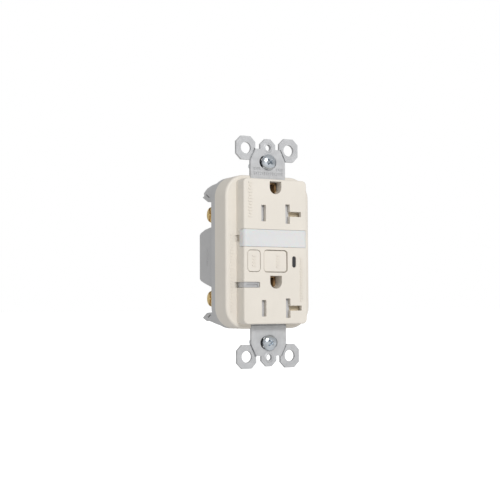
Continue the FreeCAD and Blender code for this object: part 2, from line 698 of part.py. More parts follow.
def solenoid_bobbin():
    """The spool, with a cheek at each end."""
    y, z = SOLENOID_Y, SOLENOID_Z
    spool = rod(2.6, (-9.0, y, z), (7.0, y, z))
    cheeks = [rod(4.8, (x, y, z), (x + 1.0, y, z)) for x in (-9.0, 6.0)]
    return fuse(spool, *cheeks).cut(rod(PLUNGER_R + 0.15, (-12, y, z), (9, y, z)))


def solenoid_coil():
    y, z = SOLENOID_Y, SOLENOID_Z
    return tube(4.5, 2.6, (-8.0, y, z), (6.0, y, z))


def solenoid_frame():
    """The steel yoke round the coil."""
    y, z = SOLENOID_Y, SOLENOID_Z
    back = box((-10.0, 8.0), (y + 5.0, y + 5.8), (z - 4.0, z + 4.0))
    ends = [box((x, x + 0.9), (y - 5.0, y + 5.8), (z - 4.0, z + 4.0)) for x in (-10.0, 7.1)]
    bore = rod(PLUNGER_R + 0.15, (6.5, y, z), (9, y, z))
    return fuse(back, *ends).cut(bore)


def solenoid_plunger():
    y, z = SOLENOID_Y, SOLENOID_Z
    return fuse(rod(PLUNGER_R, (-4.5, y, z), (10.6, y, z)), rod(1.0, (10.0, y, z), (13.4, y, z)))


def plunger_spring():
    y, z = SOLENOID_Y, SOLENOID_Z
    return coil(1.25, 0.16, 0.8, 4.4, (-9.0, y, z), V(1, 0, 0))


def varistor():
    """The disc that soaks up surges, on two leads."""
    disc = rod(4.2, (-2.0, 18.1, -21.5), (2.0, 18.1, -21.5))
    disc = fillet_where(disc, 0.9, lambda c, e: abs(abs(c.x) - 2.0) < 0.01)
    leads = [rod(0.4, (0, BOARD_Y[1], z), (0, 15.2, z)) for z in (-23.6, -19.4)]
    return fuse(disc, *leads)


def capacitors():
    """One film capacitor in the block and one ceramic disc in the column."""
    film = box((-17.6, -12.4), (BOARD_Y[1], 20.5), (-2.5, 7.5))
    film = fillet_where(film, 0.6, lambda c, e: c.y > 20.0)
    disc = rod(2.4, (6.2, 16.6, -18.4), (8.2, 16.6, -18.4))
    lead = rod(0.35, (7.2, BOARD_Y[1], -18.4), (7.2, 14.6, -18.4))
    return Part.Compound([film.Solids[0], fuse(disc, lead).Solids[0]])


def control_chip():
    """The sensing chip in its flat case with two rows of legs."""
    case = box((-5.0, 5.0), (BOARD_Y[1] + 0.4, BOARD_Y[1] + 1.7), (2.4, 6.2))
    legs = [box((x, x + 0.45), (BOARD_Y[1], BOARD_Y[1] + 1.0), z)
            for x in (-4.2, -1.6, 1.2, 3.8) for z in ((1.4, 2.6), (6.0, 7.2))]
    return fuse(case, *legs)


def thyristor():
    case = box((-8.8, -4.6), (BOARD_Y[1] + 2.0, BOARD_Y[1] + 6.6), (-27.5, -24.4))
    legs = [box((x, x + 0.4), (BOARD_Y[1], BOARD_Y[1] + 2.2), (-26.2, -25.8)) for x in (-8.2, -6.9, -5.6)]
    return fuse(case, *legs)


def resistors():
    """Axial resistors lying on the board."""
    y = BOARD_Y[1] + 1.2
    return Part.Compound([rod(1.1, (9.8, y, z), (15.4, y, z)) for z in (1.2, 4.4, 7.6)])


def diodes():
    y = BOARD_Y[1] + 1.3
    return Part.Compound([rod(1.2, (5.2, y, z), (9.4, y, z)) for z in (-23.6, -27.0)])


def light_board():
    """The narrow board behind the lens."""
    return box((-13.4, 13.4), (-3.0, -2.2), (2.6, 9.2))


def night_light_lamps():
    lamps = [box((x - 1.4, x + 1.4), (-4.2, -3.0), (4.9, 7.1)) for x in (-9.0, 0.0, 9.0)]
    return Part.Compound(lamps)


def indicator_lamp():
    cx, cz = INDICATOR[:2]
    body = rod(1.2, (cx, -4.3, cz), (cx, -1.0, cz))
    return fuse(body, rod(1.45, (cx, -1.6, cz), (cx, -1.0, cz)))


def photocell():
    z = sum(SENSOR_Z) / 2
    return rod(1.7, (-12.2, -4.9, z), (-12.2, -3.4, z))


def housing_screws():
    """Four long screws that hold the body to the cover from behind."""
    screws = []
    for x, z in HOUSING_SCREWS:
        shank = rod(1.3, (x, 3.2, z), (x, 13.6, z))
        head = rod(2.4, (x, 13.4, z), (x, RIM_BACK_Y + 0.2, z))
        slot = box((x - 0.4, x + 0.4), (RIM_BACK_Y - 0.6, RIM_BACK_Y + 1), (z - 1.7, z + 1.7))
        screws.append(fuse(head, shank).cut(slot).Solids[0])
    return Part.Compound(screws)


# -------------------------------------------------------------------- rear body

def body_block():
    """The deep block in the middle, with sloping shoulders above and below."""
    slopes = [(RIM_BACK_Y - 3.4, -16.4), (17.0, -15.9), (22.9, -14.4), (BODY_BACK_Y - 1.2, -13.0),
              (BODY_BACK_Y, -12.0), (BODY_BACK_Y, 9.0), (BODY_BACK_Y - 1.2, 10.0), (22.9, 11.3),
              (17.0, 12.0), (RIM_BACK_Y - 3.4, 12.4)]
    block = section(slopes, (-BLOCK_HALF_X, BLOCK_HALF_X))
    return fillet_where(block, 0.8, lambda c, e: abs(abs(c.x) - BLOCK_HALF_X) < 0.01 and c.y > 15.5)


def body_spine():
    """The narrower column above and below the block."""
    outline = [(11.5, -31.6), (15.5, -31.6), (22.4, -29.6), (SPINE_BACK_Y, -28.2),
               (SPINE_BACK_Y, 27.4), (22.4, 28.8), (15.5, 30.6), (11.5, 30.6)]
    return section(outline, (-SPINE_HALF_X, SPINE_HALF_X))


def wire_guides():
    """Slanting wire guides at the outer end of each bay."""
    top = [(13.0, 32.9), (19.3, 32.0), (22.3, 30.8), (23.9, 28.4), (22.7, 27.1), (24.5, 26.5),
           (19.0, 23.9), (13.0, 23.9)]
    low = [(13.0, -27.5), (20.3, -27.8), (27.0, -30.2), (25.0, -31.8), (22.0, -31.7),
           (15.4, -34.0), (13.0, -34.2)]
    guides = [section(top, (-21.6, -SPINE_HALF_X + 0.1)), section(low, (-21.6, -SPINE_HALF_X + 0.1))]
    slit = [(20.9, 27.9), (17.4, 26.0), (17.4, 25.5), (20.9, 27.3)]
    guides[0] = guides[0].cut(section(slit, (-22, -17.0)))
    slit = [(21.1, -30.3), (17.3, -29.0), (17.3, -28.4), (21.1, -29.6)]
    guides[1] = guides[1].cut(section(slit, (-22, -17.0)))
    outline = pad(0, 0, 2 * SHOULDER_HALF_X - 0.6, 2 * SHOULDER_HALF_Z - 0.6, SHOULDER_R - 0.3, (10, 28))
    guides = [g.common(outline) for g in guides]
    return guides + [mirror_x(g) for g in guides]


def body_bays():
    """The four open terminal bays."""
    bays = []
    for z in ((12.5, 23.8), (-27.4, -16.5)):
        bay = box((-21.55, -SPINE_HALF_X), (BAY_FLOOR_Y, 40), z)
        gap = box((-23.0, -21.4), (RIM_BACK_Y, 40), z)
        bays += [bay, gap, mirror_x(bay), mirror_x(gap)]
    return bays


def body_rooms():
    """The space inside for the board and what stands on it."""
    rim = pad(0, 0, 2 * (SHOULDER_HALF_X - WALL), 2 * (SHOULDER_HALF_Z - 2.2), SHOULDER_R - WALL,
              (COVER_BACK_Y - 1, INNER_FLOOR_Y))
    block = box((-BLOCK_HALF_X + BODY_WALL, BLOCK_HALF_X - BODY_WALL), (11, BODY_BACK_Y - BODY_WALL),
                (-13.5, 9.3))
    block = block.cut(section([(15.0, -14), (28, -14), (28, -10.8), (22.5, -12.4)], (-22, 22)))
    block = block.cut(section([(15.0, 10.6), (22.5, 9.2), (28, 7.4), (28, 10.6)], (-22, 22)))
    spine = box((-SPINE_HALF_X + BODY_WALL, SPINE_HALF_X - BODY_WALL), (11, SPINE_BACK_Y - BODY_WALL),
                (-28.7, 27.5))
    spine = spine.cut(section([(19.0, 28.5), (24, 28.5), (24, 25.6)], (-22, 22)))
    spine = spine.cut(section([(19.0, -29.5), (24, -29.5), (24, -26.6)], (-22, 22)))
    return [rim, block, spine]


def body_holes():
    holes = []
    for name, z in TERMINAL_Z.items():
        for side in (-1, 1):
            limits = sorted((side * (TERMINAL_X[0] - 0.05), side * (TERMINAL_X[1] + 0.05)))
            holes.append(box(limits, (10, 14), (z - 4.25, z + 4.25)))
    for x, z in HOUSING_SCREWS:
        holes.append(rod(1.4, (x, 10, z), (x, 14, z)))
        holes.append(rod(2.5, (x, 13.4, z), (x, 40, z)))
    return holes


def body_marks():
    """Plain bars where the housing carries small wording, and a framed panel on its back."""
    bars = []
    for i in range(8):
        z = 2.2 - 1.1 * i
        bars.append(box((-BLOCK_HALF_X - 0.18, -BLOCK_HALF_X + 0.3), (19.2, 20.6), (z - 0.22, z + 0.22)))
    frame = pad(0, -1.5, 34.0, 17.0, 1.5, (BODY_BACK_Y - 0.3, BODY_BACK_Y + 0.35))
    bars.append(frame.cut(pad(0, -1.5, 32.4, 15.4, 1.0, (BODY_BACK_Y - 1, BODY_BACK_Y + 1))))
    for row, z in enumerate((3.6, 0.6, -2.4, -5.4)):
        for i in range(13 - 2 * (row % 2)):
            x = -13.2 + 2.2 * i
            bars.append(box((x - 0.7, x + 0.7), (BODY_BACK_Y - 0.3, BODY_BACK_Y + 0.15),
                            (z - 0.25, z + 0.25)))
    return bars


def spine_ribs():
    """Stiffening ribs down the back of the column, above and below the block."""
    ribs = []
    for x in (-8.4, 0.0, 8.4):
        for z in ((12.2, 26.2), (-27.0, -15.4)):
            ribs.append(box((x - 0.5, x + 0.5), (SPINE_BACK_Y - 0.3, SPINE_BACK_Y + 0.6), z))
    return ribs


def rear_body():
    rim = pad(0, 0, 2 * SHOULDER_HALF_X, 2 * SHOULDER_HALF_Z, SHOULDER_R, (COVER_BACK_Y, RIM_BACK_Y))
    rim = fillet_where(rim, 0.5, lambda c, e: abs(c.y - RIM_BACK_Y) < 0.01)
    body = fuse(rim, body_block(), body_spine(), *wire_guides())
    body = cut(body, *body_bays(), *body_rooms(), *body_holes())
    return fuse(body, *body_marks(), *spine_ribs())


# ------------------------------------------------------------------------ build

os.makedirs("parts", exist_ok=True)

save("front_cover", front_cover())
save("rear_body", rear_body())
save("mounting_strap", mounting_strap())
save("night_light_lens", night_light_lens())
save("sensor_window", sensor_window())
save("indicator_lens", indicator_lens())
save("test_button", test_button())
save("reset_button", reset_button())
save("reset_spring", reset_spring())
for place, slot_z in places():
    save(f"shutter_{place}", shutter(slot_z))
    save(f"shutter_spring_{place}", shutter_spring(slot_z))
    save(f"side_gate_{place}", side_gate(slot_z))
    save(f"ground_contact_{place}", ground_contact(place, ground_z(slot_z)))
save("hot_contact_strip", hot_contact_strip())
save("neutral_contact_strip", neutral_contact_strip())
for wire, x_side in SIDES.items():
    save(f"moving_contact_{wire}", moving_contact(x_side))
    for end_name, end_z in TERMINAL_Z.items():
        save(f"{end_name}_{wire}_terminal", terminal(x_side, end_name))
        save(f"{end_name}_{wire}_screw", terminal_screw(x_side, end_z))
        save(f"{end_name}_{wire}_clamp", clamp_plate(x_side, end_z))
save("mounting_screw_upper", machine_screw(BOX_SCREW_Z))
save("mounting_screw_lower", machine_screw(-BOX_SCREW_Z))
save("screw_retainers", screw_retainers())
save("ground_screw", ground_screw())
save("contact_holder", contact_holder())
save("test_contact", test_contact())
save("latch_plate", latch_plate())
save("contact_carriage", contact_carriage())
save("circuit_board", circuit_board())
save("ring_cores", ring_cores())
save("core_case", core_case())
save("solenoid_bobbin", solenoid_bobbin())
save("solenoid_coil", solenoid_coil())
save("solenoid_frame", solenoid_frame())
save("solenoid_plunger", solenoid_plunger())
save("plunger_spring", plunger_spring())
save("varistor", varistor())
save("capacitors", capacitors())
save("control_chip", control_chip())
save("thyristor", thyristor())
save("resistors", resistors())
save("diodes", diodes())
save("light_board", light_board())
save("night_light_lamps", night_light_lamps())
save("indicator_lamp", indicator_lamp())
save("photocell", photocell())
save("housing_screws", housing_screws())
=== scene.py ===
import json
import math

import bmesh
import bpy
from mathutils import Matrix, Vector


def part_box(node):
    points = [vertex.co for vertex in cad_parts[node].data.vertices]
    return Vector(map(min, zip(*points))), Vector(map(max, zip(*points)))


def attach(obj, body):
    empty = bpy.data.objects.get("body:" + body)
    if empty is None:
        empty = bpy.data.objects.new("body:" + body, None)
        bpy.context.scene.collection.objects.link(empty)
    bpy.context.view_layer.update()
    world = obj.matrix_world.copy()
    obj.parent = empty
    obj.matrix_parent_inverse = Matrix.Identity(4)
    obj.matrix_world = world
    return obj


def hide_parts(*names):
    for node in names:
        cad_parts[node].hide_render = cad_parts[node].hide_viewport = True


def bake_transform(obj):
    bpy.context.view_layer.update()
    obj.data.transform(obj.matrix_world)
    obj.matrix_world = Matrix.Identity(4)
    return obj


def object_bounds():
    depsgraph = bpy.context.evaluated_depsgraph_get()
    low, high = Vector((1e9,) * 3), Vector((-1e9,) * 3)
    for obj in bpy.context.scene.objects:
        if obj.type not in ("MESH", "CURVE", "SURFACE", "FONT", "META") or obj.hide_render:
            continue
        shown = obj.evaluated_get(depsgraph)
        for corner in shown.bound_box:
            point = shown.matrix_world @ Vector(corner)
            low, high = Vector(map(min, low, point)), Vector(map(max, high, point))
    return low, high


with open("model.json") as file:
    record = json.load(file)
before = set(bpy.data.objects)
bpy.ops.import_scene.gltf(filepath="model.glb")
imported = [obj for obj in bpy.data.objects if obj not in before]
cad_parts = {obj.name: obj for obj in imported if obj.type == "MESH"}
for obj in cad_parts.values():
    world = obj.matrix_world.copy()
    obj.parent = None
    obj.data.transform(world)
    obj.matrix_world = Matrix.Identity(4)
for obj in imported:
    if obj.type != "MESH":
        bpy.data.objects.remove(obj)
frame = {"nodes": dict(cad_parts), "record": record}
cad_box = [list(corner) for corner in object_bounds()]
NODES = frame["nodes"]
MM = 0.001


# ------------------------------------------------------------------- materials

# Texture scales that all finishes of a kind share, in cycles per metre.
MOTTLE_SCALE = 70.0
PLASTIC_GLOSS_SCALE = 260.0
METAL_CLOUD_SCALE = 320.0

# How far the roughness wanders from its middle value.
PLASTIC_GLOSS_SWING = 0.05
METAL_SMOOTHER = 0.08
METAL_ROUGHER = 0.10


def new_material(name):
    """A material, its node tree and its Principled shader."""
    material = bpy.data.materials.new(name)
    material.use_nodes = True
    return material, material.node_tree, material.node_tree.nodes["Principled BSDF"]


def set_shader(shader, **values):
    """Put constant values straight on the shader's sockets."""
    for key, value in values.items():
        socket = shader.inputs[key.replace("_", " ").title().replace("Ior", "IOR")]
        socket.default_value = (*value, 1.0) if isinstance(value, tuple) else value


def noise(tree, scale, detail=3.0, stretch=(1.0, 1.0, 1.0)):
    """Noise in the object's own coordinates; the scale is in cycles per metre."""
    coordinates = tree.nodes.new("ShaderNodeTexCoord")
    mapping = tree.nodes.new("ShaderNodeMapping")
    mapping.inputs["Scale"].default_value = stretch
    texture = tree.nodes.new("ShaderNodeTexNoise")
    texture.inputs["Scale"].default_value = scale
    texture.inputs["Detail"].default_value = detail
    tree.links.new(coordinates.outputs["Object"], mapping.inputs["Vector"])
    tree.links.new(mapping.outputs["Vector"], texture.inputs["Vector"])
    return texture.outputs["Fac"]


def spread(tree, value, low, high, start=0.3, end=0.7):
    """Map a texture value onto a range of numbers."""
    remap = tree.nodes.new("ShaderNodeMapRange")
    remap.inputs["From Min"].default_value = start
    remap.inputs["From Max"].default_value = end
    remap.inputs["To Min"].default_value = low
    remap.inputs["To Max"].default_value = high
    tree.links.new(value, remap.inputs["Value"])
    return remap.outputs["Result"]


def two_tone(tree, value, dark, light, start=0.35, end=0.65):
    """Blend two colours by a texture value."""
    ramp = tree.nodes.new("ShaderNodeValToRGB")
    ramp.color_ramp.elements[0].position = start
    ramp.color_ramp.elements[0].color = (*dark, 1.0)
    ramp.color_ramp.elements[1].position = end
    ramp.color_ramp.elements[1].color = (*light, 1.0)
    tree.links.new(value, ramp.inputs["Fac"])
    return ramp.outputs["Color"]


def bump(tree, shader, value, depth, strength=0.5):
    """Shade the surface as if a texture value raised and sank it; the depth is in metres."""
    node = tree.nodes.new("ShaderNodeBump")
    node.inputs["Strength"].default_value = strength
    node.inputs["Distance"].default_value = depth
    tree.links.new(value, node.inputs["Height"])
    tree.links.new(node.outputs["Normal"], shader.inputs["Normal"])


def shade(colour, factor):
    """A colour times a factor."""
    return tuple(c * factor for c in colour)


def moulded(name, colour, roughness, grain=2600.0, depth=2e-5, variation=0.03, **extra):
    """Injection-moulded plastic: a fine grain, faint mottling and uneven gloss."""
    material, tree, shader = new_material(name)
    mottle = noise(tree, MOTTLE_SCALE, 2.0)
    tone = two_tone(tree, mottle, shade(colour, 1 - variation), colour)
    tree.links.new(tone, shader.inputs["Base Color"])
    unevenness = noise(tree, PLASTIC_GLOSS_SCALE)
    gloss = spread(tree, unevenness, roughness - PLASTIC_GLOSS_SWING, roughness + PLASTIC_GLOSS_SWING)
    tree.links.new(gloss, shader.inputs["Roughness"])
    bump(tree, shader, noise(tree, grain, 2.0), depth)
    set_shader(shader, **extra)
    return material


def metal(name, colour, roughness, stretch=(1.0, 1.0, 1.0), scratch=900.0, depth=1e-5,
          tarnish=0.86, metallic=1.0, **extra):
    """Bare or plated metal: drawn scratches, cloudy tone and uneven gloss."""
    material, tree, shader = new_material(name)
    cloud = noise(tree, METAL_CLOUD_SCALE, 4.0)
    tone = two_tone(tree, cloud, shade(colour, tarnish), colour)
    tree.links.new(tone, shader.inputs["Base Color"])
    streak = noise(tree, scratch, 3.0, stretch)
    gloss = spread(tree, streak, roughness - METAL_SMOOTHER, roughness + METAL_ROUGHER)
    tree.links.new(gloss, shader.inputs["Roughness"])
    bump(tree, shader, streak, depth)
    set_shader(shader, metallic=metallic, **extra)
    return material


ALMOND = (0.79, 0.742, 0.668)

# The finish of each record slot: which function makes it, and with what values.
LOOKS = {
    "cover_plastic": (moulded, dict(colour=ALMOND, roughness=0.42, specular_ior_level=0.35)),
    "body_plastic": (moulded, dict(colour=(0.55, 0.55, 0.553), roughness=0.5, grain=1500.0,
                                   depth=4e-5, variation=0.06)),
    "strap_steel": (metal, dict(colour=(0.60, 0.605, 0.615), roughness=0.6, stretch=(1, 1, 0.2),
                                scratch=1800.0, tarnish=0.9, metallic=0.5)),
    "lens_plastic": (moulded, dict(colour=(0.73, 0.73, 0.73), roughness=0.35, grain=1200.0,
                                   depth=1e-5, variation=0.02, subsurface_weight=0.15,
                                   subsurface_scale=0.002)),
    "clear_plastic": (moulded, dict(colour=(0.56, 0.56, 0.57), roughness=0.15, grain=900.0,
                                    depth=1e-5, variation=0.25, coat_weight=0.6,
                                    coat_roughness=0.08)),
    "dark_plastic": (moulded, dict(colour=(0.035, 0.035, 0.04), roughness=0.35)),
    "shutter_plastic": (moulded, dict(colour=(0.60, 0.60, 0.61), roughness=0.40)),
    "gate_plastic": (moulded, dict(colour=(0.85, 0.72, 0.52), roughness=0.5)),
    "spring_steel": (metal, dict(colour=(0.55, 0.55, 0.57), roughness=0.3)),
    "contact_brass": (metal, dict(colour=(0.62, 0.38, 0.18), roughness=0.4, tarnish=0.7,
                                  metallic=0.35)),
    "brass_screw": (metal, dict(colour=(0.93, 0.70, 0.32), roughness=0.22, tarnish=0.75)),
    "nickel": (metal, dict(colour=(0.68, 0.66, 0.62), roughness=0.28)),
    "zinc_screw": (metal, dict(colour=(0.72, 0.77, 0.82), roughness=0.20, tarnish=0.75)),
    "green_screw": (moulded, dict(colour=(0.02, 0.16, 0.06), roughness=0.3, coat_weight=0.4)),
    "inner_plastic": (moulded, dict(colour=(0.05, 0.05, 0.055), roughness=0.5)),
    "latch_steel": (metal, dict(colour=(0.55, 0.55, 0.55), roughness=0.35)),
    "board": (moulded, dict(colour=(0.02, 0.12, 0.05), roughness=0.4)),
    "ferrite": (moulded, dict(colour=(0.03, 0.03, 0.035), roughness=0.6)),
    "copper": (metal, dict(colour=(0.60, 0.22, 0.09), roughness=0.3)),
    "varistor_coat": (moulded, dict(colour=(0.02, 0.06, 0.25), roughness=0.4)),
    "capacitor_film": (moulded, dict(colour=(0.35, 0.02, 0.015), roughness=0.3)),
    "resistor_body": (moulded, dict(colour=(0.35, 0.25, 0.13), roughness=0.4)),
    "lamp": (moulded, dict(colour=(0.8, 0.8, 0.6), roughness=0.2)),
}
MATERIALS = {name: make(name, **look) for name, (make, look) in LOOKS.items()}


def paint_cad_nodes():
    """Give every CAD node the finish of its record slot."""
    for row in frame["record"]["subparts"]:
        node = NODES[row["node"]]
        node.data.materials.clear()
        node.data.materials.append(MATERIALS[row["material_slot"]])


# ------------------------------------------------------------- making new pieces

def linked(name, data):
    """A new object that is part of the scene."""
    thing = bpy.data.objects.new(name, data)
    bpy.context.scene.collection.objects.link(thing)
    return thing


def outward(mesh):
    """Make every face of a closed mesh look outward."""
    bm = bmesh.new()
    bm.from_mesh(mesh)
    bmesh.ops.recalc_face_normals(bm, faces=bm.faces)
    bm.to_mesh(mesh)
    bm.free()


def closed_piece(name, vertices, faces, slot):
    """A closed mesh in the scene, in the finish of a slot."""
    mesh = bpy.data.meshes.new(name)
    mesh.from_pydata(vertices, [], faces)
    mesh.validate()
    outward(mesh)
    mesh.materials.append(MATERIALS[slot])
    return linked(name, mesh)


def add_piece(name, vertices, faces, slot, body, *nodes):
    """A closed mesh that takes a slot's finish, rides a body and replaces CAD nodes."""
    piece = closed_piece(name, vertices, faces, slot)
    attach(piece, body)
    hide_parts(*nodes)
    return piece


def smooth_by_angle(mesh, degrees=32.0):
    """Shade round faces smoothly and keep real corners crisp."""
    mesh.shade_smooth()
    mesh.set_sharp_from_angle(angle=math.radians(degrees))


def turned(rows, place, segments=48):
    """A closed body turned about its axis.

    Each row is a height and a radius, and the radius may be a function of the angle.
    """
    vertices = []
    for height, radius in rows:
        for step in range(segments):
            angle = 2 * math.pi * step / segments
            reach = radius(angle) if callable(radius) else radius
            vertices.append(place(reach * math.cos(angle), reach * math.sin(angle), height))
    faces = []
    for row in range(len(rows) - 1):
        low, high = row * segments, (row + 1) * segments
        for step in range(segments):
            after = (step + 1) % segments
            faces.append((low + step, low + after, high + after, high + step))
    last = (len(rows) - 1) * segments
    faces.append(tuple(reversed(range(segments))))
    faces.append(tuple(range(last, last + segments)))
    return vertices, faces


THREAD_PITCH = 0.794 * MM
THREAD_DEPTH = 0.42 * MM
THREAD_STEEPNESS = 1.35
THREAD_ROOT_FLAT = 0.15


def thread(major, depth, pitch, height):
    """The radius of a V thread at one height, by angle."""
    def radius(angle):
        share = (height / pitch - angle / (2 * math.pi)) % 1.0
        crest = min(max(abs(2 * share - 1) * THREAD_STEEPNESS - THREAD_ROOT_FLAT, 0.0), 1.0)
        return major - depth * (1 - crest)
    return radius


def thread_rows(major, depth, pitch, start, end, per_turn=6):
    """Rows of a threaded shank between two heights."""
    count = max(2, round(abs(end - start) / pitch * per_turn))
    rows = []
    for i in range(count + 1):
        height = start + (end - start) * i / count
        rows.append((height, thread(major, depth, pitch, height)))
    return rows


# Recess tools start this far outside the head, so that they cut clean through its surface.
CUT_START = -0.3 * MM


def wedge(half_x, half_y, place, foot, depth, turn=0.0):
    """A four-sided tool for screw recesses, from above the head down to a depth.

    It narrows downwards, and foot is the share of its top that is left at the bottom.
    """
    vertices = []
    for height, scale in ((depth, foot), (CUT_START, 1.0)):
        for sx, sy in ((-1, -1), (1, -1), (1, 1), (-1, 1)):
            x, y = sx * half_x * scale, sy * half_y * scale
            vertices.append(place(x * math.cos(turn) - y * math.sin(turn),
                                  x * math.sin(turn) + y * math.cos(turn), height))
    faces = [(3, 2, 1, 0), (4, 5, 6, 7), (0, 1, 5, 4), (1, 2, 6, 5), (2, 3, 7, 6), (3, 0, 4, 7)]
    return vertices, faces


def carve(piece, cutters):
    """Cut each closed tool out of a piece, for good."""
    for vertices, faces in cutters:
        mesh = bpy.data.meshes.new("cutter")
        mesh.from_pydata(vertices, [], faces)
        outward(mesh)
        tool = linked("cutter", mesh)
        change = piece.modifiers.new("carve", "BOOLEAN")
        change.operation = "DIFFERENCE"
        change.solver = "EXACT"
        change.object = tool
        bpy.context.view_layer.update()
        carved = piece.evaluated_get(bpy.context.evaluated_depsgraph_get())
        result = bpy.data.meshes.new_from_object(carved)
        piece.modifiers.clear()
        piece.data = result
        bpy.data.objects.remove(tool)
    smooth_by_angle(piece.data)


# --------------------------------------------------------------------- fasteners

PAN_SCREW_R = 1.75 * MM
PAN_HEAD_R = 3.6 * MM
PAN_HEAD_HEIGHT = 1.95 * MM
PAN_RIM = 0.45 * MM
DOME_START_DEGREES = 4
DOME_STEPS = 8


def dome_rows(rise, radius):
    """Rows of a rounded crown, from beside its middle out to its widest place."""
    rows = []
    for step in range(DOME_STEPS + 1):
        degrees = DOME_START_DEGREES + (90 - DOME_START_DEGREES) * step / DOME_STEPS
        swing = math.radians(degrees)
        rows.append((rise * (1 - math.cos(swing)), radius * math.sin(swing)))
    return rows


def cross_recess(place):
    """The tools for a cross recess: two narrow arms and a deep middle."""
    half_length, half_width, half_middle = 2.45 * MM, 0.55 * MM, 1.0 * MM
    tools = [wedge(half_length, half_width, place, foot=0.3, depth=1.15 * MM, turn=math.radians(degrees))
             for degrees in (45, 135)]
    tools.append(wedge(half_middle, half_middle, place, foot=0.35, depth=1.05 * MM))
    return tools


def pan_screw(node, body):
    """A mounting screw: pan head with a cross recess, and a thread down to a blunt tip."""
    low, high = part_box(node)
    cx, cz = (low[0] + high[0]) / 2, (low[2] + high[2]) / 2
    front, tip = low[1], high[1]

    def place(x, y, height):
        return (cx + x, front + height, cz + y)

    seat, length = PAN_HEAD_HEIGHT, tip - front
    rim = [(seat - 0.12 * MM, PAN_HEAD_R), (seat, PAN_HEAD_R - 0.15 * MM)]
    neck = [(seat + 0.02 * MM, PAN_SCREW_R + 0.12 * MM), (seat + 0.3 * MM, PAN_SCREW_R - 0.1 * MM)]
    shank = thread_rows(PAN_SCREW_R, THREAD_DEPTH, THREAD_PITCH, seat + 0.5 * MM, length - 1.9 * MM)
    end = [(length - 0.25 * MM, 0.85 * MM), (length, 0.6 * MM)]
    rows = dome_rows(seat - PAN_RIM, PAN_HEAD_R) + rim + neck + shank + end
    piece = add_piece(node + "_detailed", *turned(rows, place), "zinc_screw", body, node)
    carve(piece, cross_recess(place))


TERMINAL_SCREW_R = 2.05 * MM
WASHER_TEETH = 24
WASHER_TOOTH_DEPTH = 0.18 * MM


def terminal_screw(node, body, side, slot):
    """A terminal screw: a flat head with slot and cross, a toothed washer face and a thread."""
    low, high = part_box(node)
    cy, cz = (low[1] + high[1]) / 2, (low[2] + high[2]) / 2
    face = low[0] if side < 0 else high[0]
    end = high[0] if side < 0 else low[0]
    head_r = (high[2] - low[2]) / 2
    length = abs(face - end)
    under = 2.2 * MM

    def place(x, y, height):
        return (face - side * height, cy + x, cz + y)

    def teeth(angle):
        return head_r - (WASHER_TOOTH_DEPTH if math.cos(WASHER_TEETH * angle) > 0 else 0.0)

    dished_face = [(0.28 * MM, 0.3 * MM), (0.16 * MM, head_r * 0.45), (0.0, head_r * 0.62)]
    head_side = [(0.12 * MM, head_r - 0.75 * MM), (0.5 * MM, head_r - 0.42 * MM),
                 (1.25 * MM, head_r - 0.38 * MM)]
    washer = [(1.32 * MM, head_r - 0.05 * MM), (1.5 * MM, head_r), (under - 0.3 * MM, head_r),
              (under, teeth)]
    neck = [(under + 0.01 * MM, 2.5 * MM), (under + 0.25 * MM, 1.95 * MM)]
    start, stop = under + 0.4 * MM, length - 0.6 * MM
    shank = thread_rows(TERMINAL_SCREW_R, THREAD_DEPTH, THREAD_PITCH, start, stop)
    tip = [(length - 0.2 * MM, 1.5 * MM), (length, 1.2 * MM)]
    rows = dished_face + head_side + washer + neck + shank + tip
    piece = add_piece(node + "_detailed", *turned(rows, place), slot, body, node)
    long_slot = wedge(0.55 * MM, 3.3 * MM, place, foot=0.95, depth=1.0 * MM)
    cross_arm = wedge(1.75 * MM, 0.5 * MM, place, foot=0.5, depth=1.6 * MM)
    carve(piece, [long_slot, cross_arm])


GROUND_SCREW_R = 1.85 * MM
GROUND_THREAD_DEPTH = 0.4 * MM
HEX_HALF_WIDTH = 3.1 * MM
HEX_WASHER_R = 3.5 * MM
# A multiple of six, so that each corner of the hexagon falls on a vertex.
HEX_SEGMENTS = 72


def hexagon(shrink=0.0):
    """The radius of the hexagonal head by angle, with its sides moved in by a distance."""
    def radius(angle):
        return (HEX_HALF_WIDTH - shrink) / math.cos((angle % (math.pi / 3)) - math.pi / 6)
    return radius


def chamfered_hexagon(angle):
    """The hexagon with its six corners cut back."""
    return min(hexagon()(angle), HEX_HALF_WIDTH + 0.12 * MM)


def ground_screw(node, body):
    """The green ground screw: a slotted hexagonal head on a washer face, and a thread."""
    low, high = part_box(node)
    cx, cy = (low[0] + high[0]) / 2, (low[1] + high[1]) / 2
    length = high[2] - low[2]

    def place(x, y, height):
        return (cx + x, cy + y, low[2] + height)

    head = [(0.0, HEX_HALF_WIDTH - 0.25 * MM), (0.35 * MM, chamfered_hexagon),
            (1.5 * MM, hexagon()), (1.8 * MM, hexagon(0.05 * MM))]
    washer = [(1.85 * MM, HEX_WASHER_R), (2.28 * MM, HEX_WASHER_R), (2.3 * MM, 2.2 * MM)]
    start, stop = 2.4 * MM, length - 0.5 * MM
    shank = thread_rows(GROUND_SCREW_R, GROUND_THREAD_DEPTH, THREAD_PITCH, start, stop)
    rows = head + washer + shank + [(length, 1.2 * MM)]
    shape = turned(rows, place, HEX_SEGMENTS)
    piece = add_piece(node + "_detailed", *shape, "green_screw", body, node)
    carve(piece, [wedge(4.2 * MM, 0.5 * MM, place, foot=0.95, depth=1.0 * MM)])


